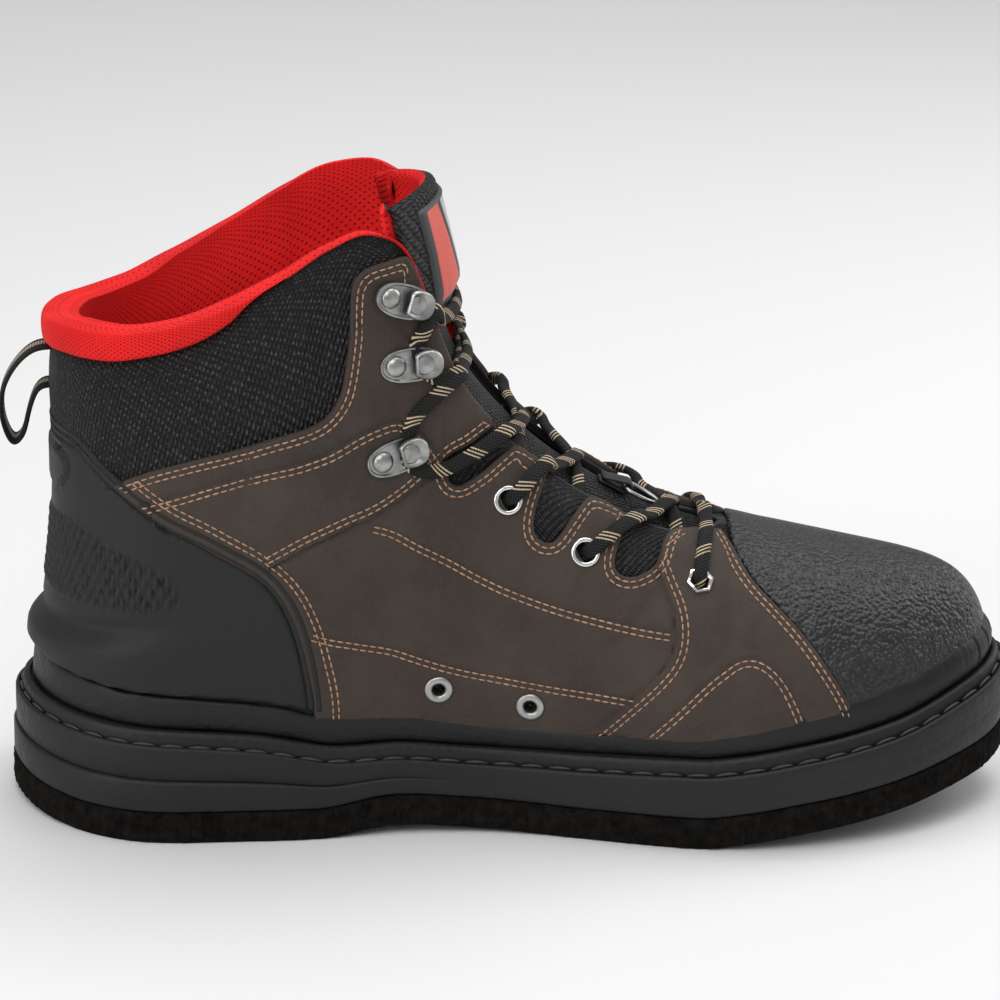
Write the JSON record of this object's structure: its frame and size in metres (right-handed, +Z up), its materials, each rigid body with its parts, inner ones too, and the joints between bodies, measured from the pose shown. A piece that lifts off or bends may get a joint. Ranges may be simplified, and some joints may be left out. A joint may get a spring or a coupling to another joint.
{
  "type": "wading boot",
  "caption": "Ankle-high wading boot with a thick felt sole, rubber wall, rand and toe cap, moulded heel counter, leather quarters, padded collar, lace hooks and eyelets, a crossed lace and a wire ring at its foot.",
  "frame": {"origin": "middle of the base, on the plane the boot stands on", "axes": "+X from heel to toe, +Y to the lateral side, +Z up"},
  "size_m": [0.3232, 0.1144, 0.2028],
  "materials": {
    "felt": "pressed felt",
    "rubber": "satin moulded rubber",
    "cap_rubber": "pebbled rubber",
    "counter_rubber": "matt moulded rubber",
    "leather": "brushed leather",
    "fabric": "coarse mesh fabric",
    "lining": "padded red mesh",
    "webbing": "woven webbing",
    "lace": "braided lace with light flecks",
    "thread": "waxed thread",
    "label": "soft moulded rubber in plain bands",
    "steel": "brushed steel"
  },
  "bodies": {
    "boot": {"outsole": "felt", "midsole": "rubber", "rand": "rubber", "insole": "fabric", "upper": "fabric", "tongue": "fabric", "tongue_label": "label", "heel_counter": "counter_rubber", "toe_cap": "cap_rubber", "quarter_medial": "leather", "quarter_lateral": "leather", "pull_loop": "webbing", "lace_crossings": "lace", "ring_tab": "webbing", "drain_eyelet_1": "steel", "drain_eyelet_2": "steel", "hook_medial_1": "steel", "eyelet_medial_1": "steel", "hook_medial_2": "steel", "eyelet_medial_2": "steel", "hook_medial_3": "steel", "eyelet_medial_3": "steel", "hook_lateral_1": "steel", "eyelet_lateral_1": "steel", "hook_lateral_2": "steel", "eyelet_lateral_2": "steel", "hook_lateral_3": "steel", "eyelet_lateral_3": "steel"},
    "ring": {"lace_ring": "steel"}
  },
  "joints": [
    {"name": "ring_swing", "type": "hinge", "parent": "boot", "child": "ring", "pos_m": [0.03671, 0.00202, 0.10087], "axis": [0, -1, 0], "range_deg": [0, 110]}
  ]
}
